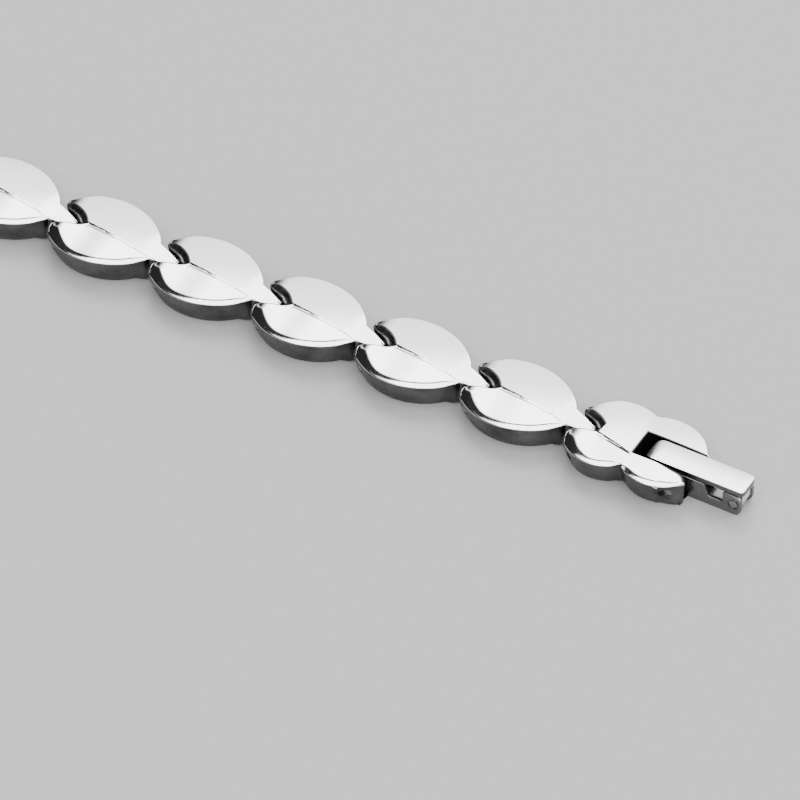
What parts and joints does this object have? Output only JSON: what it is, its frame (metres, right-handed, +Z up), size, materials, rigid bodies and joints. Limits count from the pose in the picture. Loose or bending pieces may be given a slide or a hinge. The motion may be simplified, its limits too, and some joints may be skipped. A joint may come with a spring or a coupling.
{
  "type": "magnetic bracelet of polished steel links with a fold-over clasp, opened out straight",
  "caption": "Magnetic link bracelet in polished steel: 14 leaf-shaped links on hidden pins, a magnet in each back, and a narrow fold-over clasp, lying open and straight",
  "frame": {"origin": "middle of the opened bracelet, on the surface that it lies on", "axes": "+X along the band to the clasp, +Y across it to the far side, +Z up"},
  "size_m": [0.1994, 0.0094, 0.0034],
  "materials": {
    "polished_steel": "mirror polished",
    "satin_steel": "satin",
    "pin_steel": "drawn wire",
    "magnet": "matt sintered, plated"
  },
  "bodies": {
    "root": {"far_end_link": "polished_steel", "catch_pin": "pin_steel", "link_01": "polished_steel", "link_02": "polished_steel", "link_03": "polished_steel", "link_04": "polished_steel", "link_05": "polished_steel", "link_06": "polished_steel", "link_07": "polished_steel", "link_08": "polished_steel", "link_09": "polished_steel", "link_10": "polished_steel", "link_11": "polished_steel", "link_12": "polished_steel", "link_13": "polished_steel", "link_14": "polished_steel", "link_pin_01": "pin_steel", "link_pin_02": "pin_steel", "link_pin_03": "pin_steel", "link_pin_04": "pin_steel", "link_pin_05": "pin_steel", "link_pin_06": "pin_steel", "link_pin_07": "pin_steel", "link_pin_08": "pin_steel", "link_pin_09": "pin_steel", "link_pin_10": "pin_steel", "link_pin_11": "pin_steel", "link_pin_12": "pin_steel", "link_pin_13": "pin_steel", "link_pin_14": "pin_steel", "link_pin_15": "pin_steel", "magnet_01": "magnet", "magnet_02": "magnet", "magnet_03": "magnet", "magnet_04": "magnet", "magnet_05": "magnet", "magnet_06": "magnet", "magnet_07": "magnet", "magnet_08": "magnet", "magnet_09": "magnet", "magnet_10": "magnet", "magnet_11": "magnet", "magnet_12": "magnet", "magnet_13": "magnet", "magnet_14": "magnet", "end_link": "polished_steel", "clasp_pin": "pin_steel"},
    "clasp": {"clasp_base": "satin_steel", "hinge_pin": "pin_steel"},
    "lever": {"clasp_cover": "polished_steel"}
  },
  "joints": [
    {"name": "clasp_swing", "type": "hinge", "parent": "root", "child": "clasp", "pos_m": [0.09245, 0, 0.0017], "axis": [0, -1, 0], "range_deg": [-45, 60]},
    {"name": "lever_hinge", "type": "hinge", "parent": "clasp", "child": "lever", "pos_m": [0.09865, 0, 0.00135], "axis": [0, 1, 0], "range_deg": [0, 120]}
  ]
}
